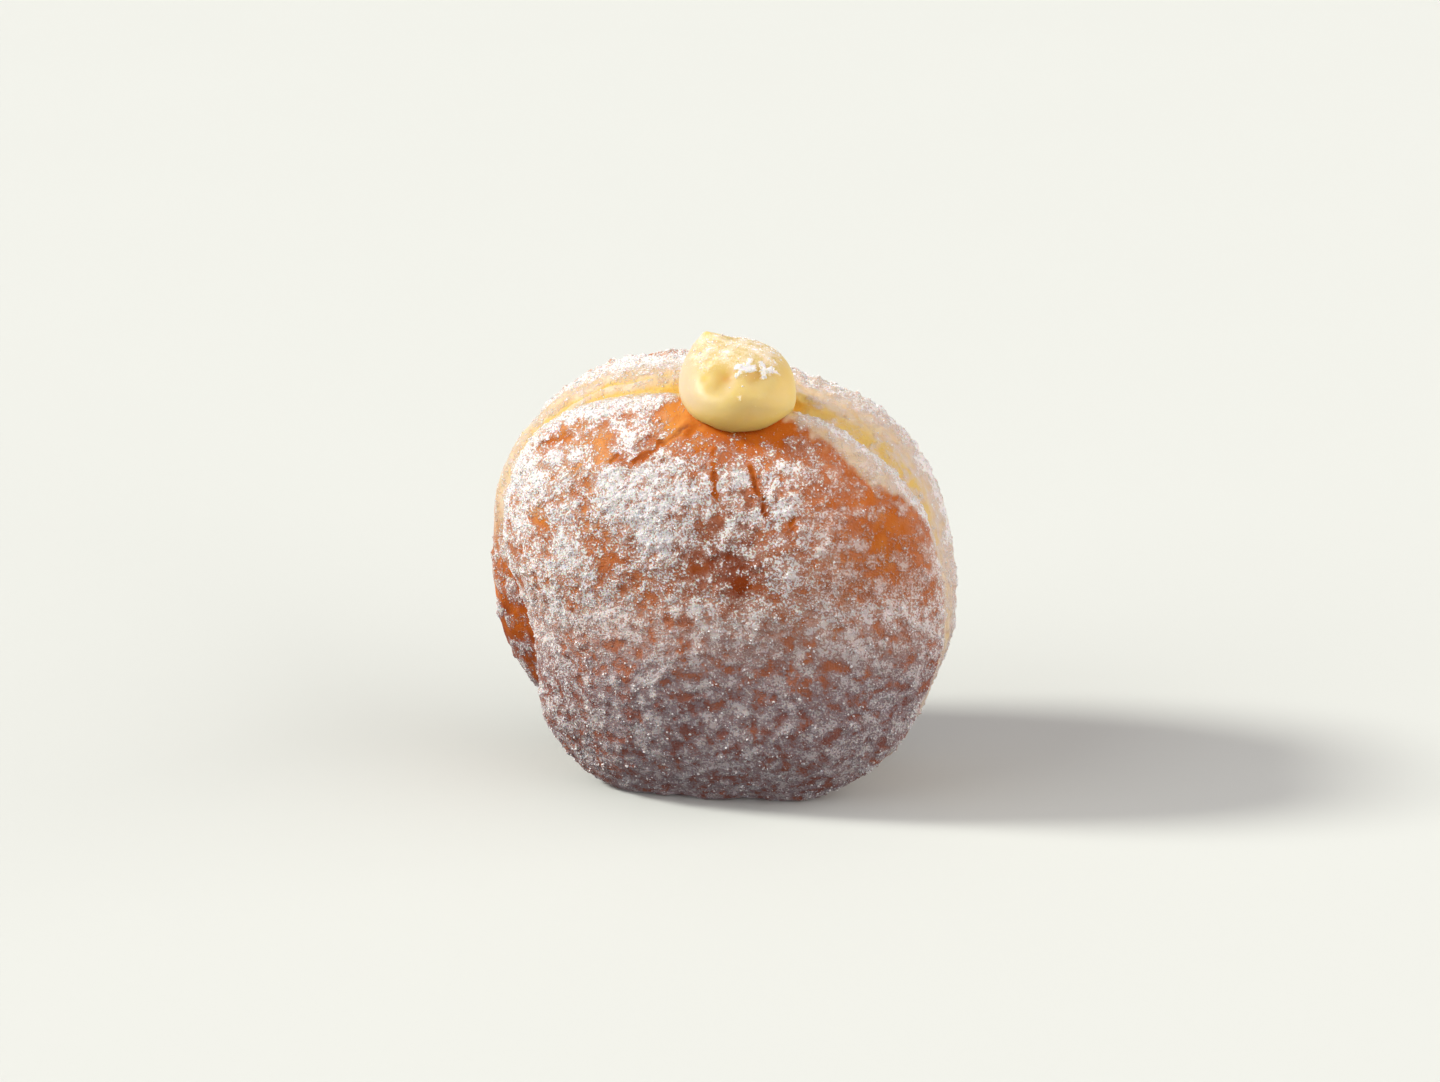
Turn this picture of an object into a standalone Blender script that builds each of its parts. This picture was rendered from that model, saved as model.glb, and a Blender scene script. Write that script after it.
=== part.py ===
"""A filled doughnut standing on its edge, with custard welling out of its piping hole.

The doughnut is a thick soft disc whose axis lies along Y. Its front face looks along -Y, the pale
band runs round it between two rims, and the custard sits on top of the band. Sizes are in
millimetres, angles in degrees clockwise from the top as seen from the front.
"""
import math

import bmesh
import bpy
from mathutils import Vector, noise

MM = 0.001

# Disc of dough
CENTRE_HEIGHT = 42.0
FRONT_DEPTH = 29.5
BACK_DEPTH = 28.5
PUFF = 2.6
RIM_SITE = 14.0
BAND_FLATNESS = 0.96
BAND_CROWN = 0.05
LOBE_STEP = 8.0
SETTLED_HEIGHT = 1.0

# Radius of the rim lines round the disc, as (angle, radius)
FRONT_RIM = (
    (-152, 46.0), (-134, 43.4), (-120, 38.2), (-106, 36.0), (-94, 36.8), (-76, 40.6), (-50, 43.2),
    (-20, 38.2), (8, 36.6), (34, 38.6), (62, 42.0), (90, 43.0), (118, 44.6), (146, 46.0), (180, 43.6),
)
BACK_RIM = (
    (-150, 46.4), (-134, 47.6), (-120, 48.6), (-104, 47.4), (-86, 46.0), (-64, 45.2), (-40, 41.8),
    (-14, 38.0), (16, 35.8), (36, 37.2), (64, 40.0), (92, 41.0), (118, 44.8), (146, 46.4), (180, 43.6),
)

# Groove that runs along the band, as (angle, size)
GROOVE_DEPTH = (
    (-165, 1.0), (-122, 4.6), (-98, 4.4), (-76, 2.0), (-48, 1.6), (-14, 2.4),
    (24, 2.4), (52, 2.6), (84, 2.2), (125, 1.6), (168, 0.8),
)
GROOVE_SITE = (
    (-160, -1.0), (-112, -6.5), (-84, -5.0), (-48, -4.5), (-12, -5.5), (30, -5.0), (66, -4.5), (120, -1.0),
)
GROOVE_WIDTH = ((-160, 5.0), (-112, 6.4), (-80, 4.6), (-48, 3.4), (-12, 3.8), (40, 3.6), (90, 4.0))
RIM_LIP = 0.7
RIM_LIP_WIDTH = 3.0
CREASE_FADE = 4.0

# Folds side by side in the band, left of the custard
FOLD_COUNT = 4
FOLD_FIRST_SITE = -10.5
FOLD_STEP = 3.3
FOLD_DEPTH = 0.75
FOLD_WIDTH = 0.95
FOLD_SLANT = 0.02
FOLD_MIDDLE = -42.0
FOLD_REACH = 24.0

# Creases in the front face, as (x, height above the table) ends, depth and half width
CREASES = (
    ((-3.4, 75.1), (-12.4, 69.3), 1.1, 1.2),
    ((-16.0, 69.9), (-22.0, 66.0), 0.6, 1.1),
    ((2.3, 72.0), (3.1, 64.4), 0.9, 1.0),
    ((9.2, 69.2), (12.4, 60.8), 1.0, 1.0),
)

# Soft unevenness of the whole surface, as (size, height, place in the noise)
LUMPS = (
    (19.0, 1.2, (3.1, 0.4, 7.7)),
    (9.0, 0.4, (9.2, 5.3, 1.8)),
)

# Hollow round the piping hole, under the custard
DIMPLE_DEPTH = 2.2
DIMPLE_REACH = 7.5

# Piping hole and the custard that stands in it
HOLE_SITE = (4.0, -6.0)
HOLE_RADIUS = 4.5
HOLE_FLOOR = 46.0
HOLE_CUT_TOP = 100.0
HOLE_SIDES = 28
HOLE_DOME_ANGLES = (27, 54, 81)
GAP = 0.3

# Dollop of custard: middle and half sizes of the rounds that it is made of
BELLY = ((4.6, -12.0, 79.5), (10.7, 10.4, 7.0))
CAP = ((3.0, -7.5, 83.4), (9.2, 8.8, 4.9))
TIP = ((-1.8, -6.6, 86.9), (2.1, 2.1, 2.1))
CAP_BLEND = 3.0
TIP_BLEND = 3.4
DOLLOP_CORE = (3.8, -9.5, 80.5)
DOLLOP_REACH = 24.0
HALVINGS = 30

# Dents in the front of the dollop, as middle, depth and half width
DENTS = (
    ((2.9, -18.0, 84.4), 2.0, 2.3),
    ((8.9, -16.9, 84.4), 1.6, 1.9),
)

# Facets
COLUMNS = 88
BAND_ROWS = 26
FACE_ROWS = 14
FACE_ROW_SPREAD = 1.25
DOLLOP_COLUMNS = 44
DOLLOP_ROWS = 24


def around(stations, angle):
    """Value at an angle on a smooth closed curve through the stations."""
    count = len(stations)
    for index in range(count):
        start, low = stations[index]
        end, high = stations[(index + 1) % count]
        span = (end - start) % 360
        along = (angle - start) % 360
        if along <= span:
            break
    before_angle, before = stations[index - 1]
    after_angle, after = stations[(index + 2) % count]
    start_slope = (high - before) / ((end - before_angle) % 360)
    end_slope = (after - low) / ((after_angle - start) % 360)
    t = along / span
    return (
        low * (2 * t ** 3 - 3 * t ** 2 + 1)
        + start_slope * span * (t ** 3 - 2 * t ** 2 + t)
        + high * (3 * t ** 2 - 2 * t ** 3)
        + end_slope * span * (t ** 3 - t ** 2)
    )


def bell(distance, width):
    """Smooth hump of height 1 at no distance, nearly gone at twice the width."""
    return math.exp(-(distance / width) ** 2)


def ease(value, low, high):
    """Smooth step from 0 at the low end to 1 at the high end."""
    t = min(1.0, max(0.0, (value - low) / (high - low)))
    return t * t * (3 - 2 * t)


def turn_between(angle, middle):
    """Signed turn from one angle to another, from -180 to 180."""
    return (angle - middle + 180) % 360 - 180


def distance_to_line(x, z, start, end):
    """Distance from a place on the front face to a straight line between two places."""
    along_x = end[0] - start[0]
    along_z = end[1] - start[1]
    length = along_x ** 2 + along_z ** 2
    t = ((x - start[0]) * along_x + (z - start[1]) * along_z) / length
    t = min(1.0, max(0.0, t))
    return math.hypot(x - start[0] - t * along_x, z - start[1] - t * along_z)


def profile(site):
    """Share of the disc's full radius at a place along its axis, from -1 in front to 1 behind."""
    return max(0.0, 1 - abs(site) ** PUFF) ** (1 / PUFF)


def flattened(share):
    """Share of the radius with the bulge between the rims pressed nearly flat."""
    if share <= BAND_FLATNESS:
        return share
    return BAND_FLATNESS + BAND_CROWN * (1 - math.exp((BAND_FLATNESS - share) / BAND_CROWN))


def row_sites():
    """Places of the rows along the axis, from the front face to the back, close together in the band."""
    rim = RIM_SITE / FRONT_DEPTH
    rim_angle = math.asin(rim ** (PUFF / 2))
    quarter = math.pi / 2
    face = []
    for row in range(1, FACE_ROWS + 1):
        share = row / FACE_ROWS
        swing = rim_angle + (quarter - rim_angle) * (1 - share) ** FACE_ROW_SPREAD
        face.append(math.sin(swing) ** (2 / PUFF))
    sites = [-site for site in face]
    for row in range(1, BAND_ROWS):
        sites.append(rim * (2 * row / BAND_ROWS - 1))
    sites.extend(reversed(face))
    return sites


def settle(height):
    """Height above the table after the soft dough has settled flat on it."""
    return height if height > SETTLED_HEIGHT else 0.0


def band_relief(angle, y):
    """Grooves, lips and folds of the band, outward positive."""
    relief = -around(GROOVE_DEPTH, angle) * bell(y - around(GROOVE_SITE, angle), around(GROOVE_WIDTH, angle))
    for rim in (-RIM_SITE, RIM_SITE):
        relief += RIM_LIP * bell(y - rim, RIM_LIP_WIDTH)
    reach = bell(turn_between(angle, FOLD_MIDDLE), FOLD_REACH)
    for fold in range(FOLD_COUNT):
        site = FOLD_FIRST_SITE + FOLD_STEP * fold + FOLD_SLANT * turn_between(angle, FOLD_MIDDLE)
        relief -= FOLD_DEPTH * reach * bell(y - site, FOLD_WIDTH)
    return relief


def face_relief(x, height, front):
    """Creases of the front face, outward positive."""
    relief = 0.0
    for start, end, depth, width in CREASES:
        relief -= front * depth * bell(distance_to_line(x, height, start, end), width)
    return relief


def lump_relief(point):
    """Soft unevenness of the dough, outward positive."""
    relief = 0.0
    for size, height, place in LUMPS:
        relief += height * noise.noise(Vector(point) / size + Vector(place))
    return relief


def dough_point(angle, site):
    """Place on the dough's surface, in millimetres."""
    depth = BACK_DEPTH if site > 0 else FRONT_DEPTH
    y = site * depth
    step = around(GROOVE_SITE, angle)
    back = ease(y, step - LOBE_STEP, step + LOBE_STEP)
    front_radius = around(FRONT_RIM, angle)
    back_radius = around(BACK_RIM, angle)
    rim_radius = front_radius + (back_radius - front_radius) * back
    share = profile(site) / profile(RIM_SITE / FRONT_DEPTH)
    radius = rim_radius * flattened(share) / flattened(1.0)

    outward_radius = share ** (PUFF - 1) / rim_radius
    outward_y = math.copysign(abs(site) ** (PUFF - 1) / depth, site)
    length = math.hypot(outward_radius, outward_y)
    outward_radius /= length
    outward_y /= length

    turn = math.radians(angle)
    x = radius * math.sin(turn)
    height = CENTRE_HEIGHT + radius * math.cos(turn)
    in_front = ease(-y, RIM_SITE, RIM_SITE + CREASE_FADE)
    relief = band_relief(angle, y) + face_relief(x, height, in_front) + lump_relief((x, y, height))
    from_hole = math.hypot(x - HOLE_SITE[0], y - HOLE_SITE[1])
    if height > CENTRE_HEIGHT:
        relief -= DIMPLE_DEPTH * bell(from_hole, DIMPLE_REACH)

    radius += outward_radius * relief
    y += outward_y * relief
    height = settle(CENTRE_HEIGHT + radius * math.cos(turn))
    return Vector((radius * math.sin(turn), y, height))


def rounds_distance(point, middle, half_sizes):
    """Rough distance from a point to an ellipsoid, negative inside it."""
    scaled = Vector([(point[axis] - middle[axis]) / half_sizes[axis] for axis in range(3)])
    return (scaled.length - 1) * min(half_sizes)


def soft_union(first, second, blend):
    """Distance to two joined shapes, with the corner between them filled over the blend's width."""
    overlap = max(0.0, blend - abs(first - second)) / blend
    return min(first, second) - overlap ** 2 * blend / 4


def dollop_distance(point):
    """Rough distance from a point to the dollop, negative inside it."""
    two = soft_union(rounds_distance(point, *BELLY), rounds_distance(point, *CAP), CAP_BLEND)
    distance = soft_union(two, rounds_distance(point, *TIP), TIP_BLEND)
    for middle, depth, width in DENTS:
        distance += depth * bell((point - Vector(middle)).length, width)
    return distance


def dollop_point(direction):
    """Place on the dollop's surface in a direction from its core, found by halving."""
    core = Vector(DOLLOP_CORE)
    near = 0.0
    far = DOLLOP_REACH
    for _ in range(HALVINGS):
        middle = (near + far) / 2
        if dollop_distance(core + direction * middle) < 0:
            near = middle
        else:
            far = middle
    return core + direction * near


def closed_mesh(name, first_pole, rings, last_pole):
    """Closed skin over rings of points between two poles, with its faces pointing out."""
    mesh = bpy.data.meshes.new(name)
    bm = bmesh.new()
    top = bm.verts.new(first_pole * MM)
    rows = [[bm.verts.new(point * MM) for point in ring] for ring in rings]
    bottom = bm.verts.new(last_pole * MM)
    columns = len(rings[0])
    for column in range(columns):
        following = (column + 1) % columns
        bm.faces.new((top, rows[0][column], rows[0][following]))
        for upper, lower in zip(rows, rows[1:]):
            bm.faces.new((upper[column], lower[column], lower[following], upper[following]))
        bm.faces.new((bottom, rows[-1][following], rows[-1][column]))
    bmesh.ops.recalc_face_normals(bm, faces=bm.faces)
    bmesh.ops.triangulate(bm, faces=bm.faces)
    bm.to_mesh(mesh)
    bm.free()
    mesh.shade_smooth()
    piece = bpy.data.objects.new(name, mesh)
    bpy.context.scene.collection.objects.link(piece)
    return piece


def material(name, colour, roughness):
    made = bpy.data.materials.new(name)
    made.use_nodes = True
    shader = made.node_tree.nodes["Principled BSDF"]
    shader.inputs["Base Color"].default_value = (*colour, 1.0)
    shader.inputs["Roughness"].default_value = roughness
    shader.inputs["Metallic"].default_value = 0.0
    return made


def make_guide(piece):
    """Mark a piece that only shapes another one."""
    piece.hide_render = True
    piece.display_type = "WIRE"


def cut_or_join(piece, other, operation):
    change = piece.modifiers.new(other.name, "BOOLEAN")
    change.operation = operation
    change.object = other
    change.solver = "EXACT"


def make_dough(name, swell=0.0):
    """Skin of the dough, moved outward along its normals by the swell."""
    angles = [360 * column / COLUMNS for column in range(COLUMNS)]
    sites = row_sites()
    rings = [[dough_point(angle, site) for angle in angles] for site in sites]
    dough = closed_mesh(name, dough_point(0, -1), rings, dough_point(0, 1))
    if swell:
        moves = [vertex.normal * swell * MM for vertex in dough.data.vertices]
        for vertex, move in zip(dough.data.vertices, moves):
            vertex.co += move
    return dough


def make_plug(name, radius, floor, top):
    """Upright round plug with a domed lower end, on the piping hole's axis."""
    rings = []
    angles = [2 * math.pi * side / HOLE_SIDES for side in range(HOLE_SIDES)]
    levels = [(top, radius), (floor + radius, radius)]
    for dome_angle in HOLE_DOME_ANGLES:
        dip = math.radians(dome_angle)
        levels.append((floor + radius - radius * math.sin(dip), radius * math.cos(dip)))
    for height, ring_radius in levels:
        ring = []
        for angle in angles:
            x = HOLE_SITE[0] + ring_radius * math.cos(angle)
            y = HOLE_SITE[1] + ring_radius * math.sin(angle)
            ring.append(Vector((x, y, height)))
        rings.append(ring)
    return closed_mesh(name, Vector((*HOLE_SITE, top)), rings, Vector((*HOLE_SITE, floor)))


def make_dollop(name):
    """Rounded dollop, whole, before the dough's shape is cut out from under it."""
    rings = []
    for row in range(1, DOLLOP_ROWS):
        tilt = math.pi * row / DOLLOP_ROWS
        ring = []
        for column in range(DOLLOP_COLUMNS):
            turn = 2 * math.pi * column / DOLLOP_COLUMNS
            level = math.sin(tilt)
            direction = Vector((level * math.cos(turn), level * math.sin(turn), math.cos(tilt)))
            ring.append(dollop_point(direction))
        rings.append(ring)
    return closed_mesh(name, dollop_point(Vector((0, 0, 1))), rings, dollop_point(Vector((0, 0, -1))))


def stand_over_origin(pieces, dough):
    """Move the pieces together so that the middle of the dough's outline is over the origin."""
    points = [vertex.co for vertex in dough.data.vertices]
    middle = Vector((0, 0, 0))
    for axis in range(2):
        reach = [point[axis] for point in points]
        middle[axis] = (min(reach) + max(reach)) / 2
    for piece in pieces:
        piece.location = -middle


def main():
    for old in list(bpy.data.objects):
        bpy.data.objects.remove(old)

    dough = make_dough("dough")
    dough.data.materials.append(material("fried_dough", (0.62, 0.30, 0.10), 0.65))
    hole = make_plug("piping_hole", HOLE_RADIUS, HOLE_FLOOR, HOLE_CUT_TOP)
    make_guide(hole)
    cut_or_join(dough, hole, "DIFFERENCE")

    custard = make_dollop("custard")
    custard.data.materials.append(material("custard", (0.90, 0.66, 0.26), 0.35))
    clearance = make_dough("dough_clearance", swell=GAP)
    make_guide(clearance)
    cut_or_join(custard, clearance, "DIFFERENCE")
    stem = make_plug("custard_stem", HOLE_RADIUS - GAP, HOLE_FLOOR + GAP, DOLLOP_CORE[2])
    make_guide(stem)
    cut_or_join(custard, stem, "UNION")

    stand_over_origin((dough, hole, custard, clearance, stem), dough)


main()
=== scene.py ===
"""A custard doughnut dusted with fine sugar, standing on its edge on a pale table.

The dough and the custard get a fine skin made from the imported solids, and sugar lies on both as
powder, specks, crystals, clumps and flakes. Sizes are in millimetres, and angles in degrees clockwise
from the top as seen from the front, unless a name says otherwise. On the doughnut, x runs to the
right, y to the back and height up.
"""
import math

import bmesh
import bpy
import numpy as np
from mathutils import Matrix, Vector, noise


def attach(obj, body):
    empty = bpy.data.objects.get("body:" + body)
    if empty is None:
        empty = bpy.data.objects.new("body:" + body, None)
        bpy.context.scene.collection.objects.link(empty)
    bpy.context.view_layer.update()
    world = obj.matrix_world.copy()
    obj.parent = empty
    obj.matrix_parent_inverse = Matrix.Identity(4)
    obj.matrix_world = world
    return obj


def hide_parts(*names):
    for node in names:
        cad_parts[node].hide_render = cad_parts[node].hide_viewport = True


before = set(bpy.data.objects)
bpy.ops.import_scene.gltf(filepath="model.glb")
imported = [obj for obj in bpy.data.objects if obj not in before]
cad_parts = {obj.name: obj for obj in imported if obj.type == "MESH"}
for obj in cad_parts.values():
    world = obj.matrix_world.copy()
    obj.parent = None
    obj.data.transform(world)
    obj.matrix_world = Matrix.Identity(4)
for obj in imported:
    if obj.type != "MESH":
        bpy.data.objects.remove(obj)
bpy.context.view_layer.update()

MM = 0.001
scene = bpy.context.scene


def hue(red, green, blue):
    """Colour for a shader from its 0 to 255 screen values."""
    linear = []
    for level in (red, green, blue):
        share = level / 255
        linear.append(share / 12.92 if share <= 0.04045 else ((share + 0.055) / 1.055) ** 2.4)
    return (*linear, 1.0)


# Where the doughnut's own middle line stands in the frame, the middle of its face, and its two rims
OWN_MIDDLE = (1.4, 0.62)
CENTRE_HEIGHT = 42.0
RIM_SITE = 14.0

# Distances from the middle of the band between which its sugar gives way to that of a face, and between
# which the creased front starts
FACE_BLEND = (RIM_SITE - 1, RIM_SITE + 3)
FRONT_BLEND = (12, 17)

# Fine skins
DOUGH_CELL = 0.57
DOUGH_SMOOTHING = 6
CUSTARD_CELL = 0.36
CUSTARD_SMOOTHING = 7
FACET_ROUNDING = 2

# Values at the points of the skins, which the materials and the grains read
MARKS = (
    "crust", "toast", "deep", "powder", "crease", "thick", "soft", "grains", "flakes",
    "dust", "pale", "under",
)

# Noises at the points of the skins: the size of their blots, how many layers of them there are, each
# finer than the last, a shift that keeps the noises apart, and for some how strong they are. Streaks,
# wrinkles and fibres read places that are scaled already
WANDER = {"size": 5.0, "octaves": 2, "shift": 21.0}
KINKS = {"size": 1.8, "octaves": 2, "shift": 91.0}
LUMPS = {"size": 1.6, "octaves": 2, "shift": 31.0}
CRUMBS = {"size": 0.9, "octaves": 1, "shift": 61.0, "strength": 0.42}
SWELLS = {"size": 4.2, "octaves": 2, "shift": 51.0, "strength": 0.14}
BROAD_SUGAR = {"size": 8.0, "octaves": 2, "shift": 3.7}
PATCHY_SUGAR = {"size": 3.2, "octaves": 3, "shift": 11.3, "strength": 0.55}
LUMPY_SUGAR = {"size": 1.5, "octaves": 2, "shift": 33.0, "strength": 0.2}
STREAKS = {"size": 1.0, "octaves": 3, "shift": 71.0}
WRINKLES = {"size": 1.0, "octaves": 2, "shift": 5.0}
FIBRES = {"size": 1.0, "octaves": 2, "shift": 41.0}
CUSTARD_SWIRL = {"size": 4.5, "octaves": 1, "shift": 2.0, "strength": 0.12}
CUSTARD_GRAIN = {"size": 1.4, "octaves": 2, "shift": 8.0, "strength": 0.03}
CUSTARD_DUST = {"size": 1.8, "octaves": 2, "shift": 13.0, "strength": 0.7}
FLAKE_EDGE = {"size": 0.7, "octaves": 2, "shift": 17.0, "strength": 0.9}
LAYER_FADING = 0.9
LAYER_FINENESS = 2.1

# Noises in the materials
MOTTLE = {"size": 4.0, "detail": 3.0}
CLOUD = {"size": 2.6, "detail": 3.0, "roughness": 0.55}
FROSTING = {"size": 1.9, "detail": 5.0, "roughness": 0.7}
GRAIN = {"size": 0.9, "detail": 2.0, "roughness": 0.6}
FINE = {"size": 0.42, "detail": 2.0, "roughness": 0.6}
PORES = {"size": 0.8}
CREAM_CLOUD = {"size": 5.0, "detail": 2.0}
CREAM_GRAIN = {"size": 0.8, "detail": 2.0, "roughness": 0.6}
CREAM_FINE = {"size": 0.35, "detail": 1.0}

# Amounts of powder at which the veil of thin sugar, the white cover and dry sugar start and are full,
# and levels of the fine noise between which specks do
VEIL_EDGE = (-0.1, 0.55)
CRUST_VEIL_EDGE = (-0.1, 0.35)
COVER_EDGE = (0.6, 0.92)
DRY_EDGE = (0.5, 1.1)
SPECK_EDGE = (0.6, 0.76)

# How far the noises shift the edges of the veil and of the cover
CRUST_CLOUDS = 1.8
SOFT_CLOUDS = 1.6
VEIL_FROSTING = 1.9
VEIL_FINE = 1.2
COVER_FROSTING = 3.5
COVER_FINE = 4.5

# Heights over which the sugar turns from grey at the bottom, which is painted shade, to white
PAINTED_SHADE_HEIGHTS = (26, 46)

# Relief in the dough's material
VEIL_RELIEF = 0.08
COVER_RELIEF = 0.18
GRIT_RELIEF = 0.2
SKIN_RELIEF = 0.1
PORE_RELIEF = 0.08

# Colours of the dough under its sugar
GOLDEN_CRUST = hue(226, 152, 70)
BROWN_CRUST = hue(198, 103, 16)
DARK_CRUST = hue(136, 56, 5)
# Painted shade in the creases of the crust
CREASE_SHADE_BROWN = hue(132, 58, 16)
PALE_CREAM = hue(226, 206, 178)
WARM_CREAM = hue(222, 192, 145)
# The two deeper yellows lie in the groove and beside the custard, and in the folds, where they are painted
# shade
GROOVE_YELLOW = hue(224, 190, 107)
FOLD_AMBER = hue(219, 162, 52)

# Colours of the sugar on the dough, from a thin damp veil to a thick dry cake
DAMP_SUGAR = hue(211, 175, 158)
DRIER_SUGAR = hue(223, 198, 187)
SUNK_SUGAR = hue(207, 180, 170)
# Painted shade: grey, lilac sugar low on the doughnut
PAINTED_SHADE_SUGAR = hue(168, 157, 161)
BAND_SUGAR = hue(230, 211, 200)
RIDGE_SUGAR = hue(223, 205, 193)
DRY_SUGAR = hue(254, 250, 246)

# Colours of the custard and of the sugar on it
CUSTARD_LIGHT = hue(216, 194, 132)
CUSTARD_CREAM = hue(212, 188, 121)
# Painted sheen: paler custard on the left, where the key light falls
CUSTARD_PAINTED_SHEEN = hue(214, 191, 164)
# Painted light: brighter yellow under the custard and on its right side
CUSTARD_PAINTED_GLOW = hue(252, 214, 123)
# Painted shade: deeper yellow in the custard's dimples and low on it
CUSTARD_PAINTED_SHADE = hue(237, 198, 66)
CUSTARD_VEIL = hue(253, 240, 220)
CUSTARD_WHITE = hue(254, 252, 250)

# Piping hole, as (x, height). The wrinkles of the crust and the streaks of sugar run towards it
PIPING_HOLE = (4.0, 86.0)
WRINKLES_PER_RADIAN = 14.0
STREAKS_PER_RADIAN = 11.0
RAY_LENGTH = 6.0
WRINKLE_DEPTH = 0.12

# How far from the piping hole the wrinkles lie, and to both sides of that
WRINKLE_REACH = 24.0
WRINKLE_SPREAD = 11.0

# Creases in the front crust, as (x, height) ends, depth and half width, with painted shade along those of
# positive depth. A negative depth softens a crease that the solid has already
CREASES = (
    ((-3.4, 75.1), (-12.4, 69.3), -0.75, 1.2),
    ((-16.0, 69.9), (-22.0, 66.0), -0.45, 1.1),
    ((2.3, 72.0), (3.1, 64.4), -0.65, 1.0),
    ((9.2, 69.2), (12.4, 60.8), -0.7, 1.0),
    ((-3.4, 75.3), (-7.9, 72.5), 0.3, 0.42), ((-7.9, 72.5), (-12.6, 69.2), 0.35, 0.5),
    ((-16.0, 69.9), (-17.4, 68.8), 0.25, 0.35),
    ((2.2, 72.2), (2.6, 68.4), 0.12, 0.3), ((2.7, 68.2), (3.1, 64.4), 0.3, 0.36),
    ((9.1, 69.4), (10.3, 66.1), 0.3, 0.36), ((10.3, 66.1), (11.6, 64.4), 0.3, 0.36),
    ((11.6, 64.4), (12.5, 60.8), 0.25, 0.32), ((17.7, 60.9), (17.2, 58.9), 0.15, 0.35),
    ((-34.5, 68.2), (-26.0, 71.8), 0.12, 0.5),
)

# Folds along the pale band, left of the custard, as places along y
FOLD_SITES = (-10.5, -7.2, -3.9, -0.6, 6.0)
FOLD_DEPTH = 0.7
FOLD_WIDTH = 0.8
FOLD_ANGLE = -42.0
FOLD_SPAN = 24.0
FOLD_SLANT = 0.02

# Fibres along the band: how many lie in a radian, how wide they are and how deep they reach
FIBRES_PER_RADIAN = 14.0
FIBRE_WIDTH = 1.3
FIBRE_REACH = 4.0

# Sugar on the front crust, as (x, height, reach, amount)
POWDER_PATCHES = (
    # Thick drift from the upper left to the middle
    (-16.4, 66.0, 3.6, 0.90), (-10.5, 68.5, 4.0, 0.40), (-4.5, 70.3, 4.0, 0.40),
    (-16.0, 61.5, 5.0, 0.50), (-9.0, 63.0, 5.5, 0.65), (-2.5, 64.2, 4.5, 0.50),
    (-14.0, 58.0, 5.5, 0.45), (-6.5, 58.4, 5.5, 0.35), (0.5, 60.5, 4.0, 0.25),
    # Round the two upright creases
    (3.6, 67.1, 3.0, 0.15), (7.9, 68.8, 2.2, 0.35), (16.3, 68.2, 2.0, 0.55),
    (16.6, 62.4, 2.2, 0.55), (12.2, 63.0, 3.0, 0.15), (8.6, 60.6, 3.5, 0.15),
    (4.5, 66.0, 6.0, 0.12), (12.0, 66.0, 5.0, 0.08), (7.4, 67.4, 1.4, 0.60),
    # Along the top of the face
    (-21.0, 75.6, 2.6, 0.35), (-16.2, 76.4, 3.0, 0.40), (-9.3, 78.4, 2.8, 0.50), (-12.6, 74.0, 3.4, 0.35),
    # White streaks down the left edge
    (-34.6, 65.1, 2.6, 0.90), (-34.7, 60.0, 2.4, 1.00), (-35.2, 53.9, 2.4, 1.00), (-29.0, 71.0, 4.0, 0.30),
    (-31.5, 64.4, 2.6, 0.35), (-27.9, 67.3, 3.2, 0.35), (-31.0, 59.0, 3.5, 0.50), (-25.0, 60.0, 4.0, 0.30),
    # Left of the middle
    (-26.7, 55.0, 4.0, 0.25), (-23.4, 50.5, 4.5, 0.45), (-28.0, 48.0, 4.0, 0.35), (-20.0, 47.0, 4.0, 0.30),
    (-33.0, 44.0, 4.0, 0.50), (-9.9, 51.4, 4.0, 0.25), (-5.2, 54.6, 4.0, 0.30),
    # Lower left
    (-28.7, 39.7, 4.0, 0.35), (-29.9, 31.0, 5.0, 0.50), (-20.3, 42.6, 5.0, 0.20), (-14.5, 40.0, 5.0, 0.20),
    (-24.0, 36.0, 5.0, 0.45), (-14.0, 28.0, 5.0, 0.30), (-9.0, 33.0, 4.0, 0.25),
    # Middle of the bottom
    (-3.2, 43.4, 3.4, 0.30), (3.0, 45.0, 3.0, 0.20), (4.6, 38.9, 4.6, 0.35), (0.9, 34.2, 6.0, 0.15),
    (12.5, 36.4, 6.0, 0.15), (9.6, 42.0, 3.4, 0.25), (6.6, 29.0, 5.0, 0.20), (15.0, 31.0, 3.5, 0.25),
    # Right, from the top down
    (22.2, 61.8, 4.0, 0.15), (26.4, 56.4, 4.0, 0.20), (21.5, 52.9, 4.0, 0.15), (16.0, 54.0, 4.0, 0.10),
    (21.1, 43.0, 5.0, 0.30), (27.5, 44.5, 5.0, 0.25), (32.3, 39.4, 5.0, 0.35), (40.5, 40.0, 4.0, 0.30),
    (27.0, 37.0, 4.0, 0.45),
)

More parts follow.
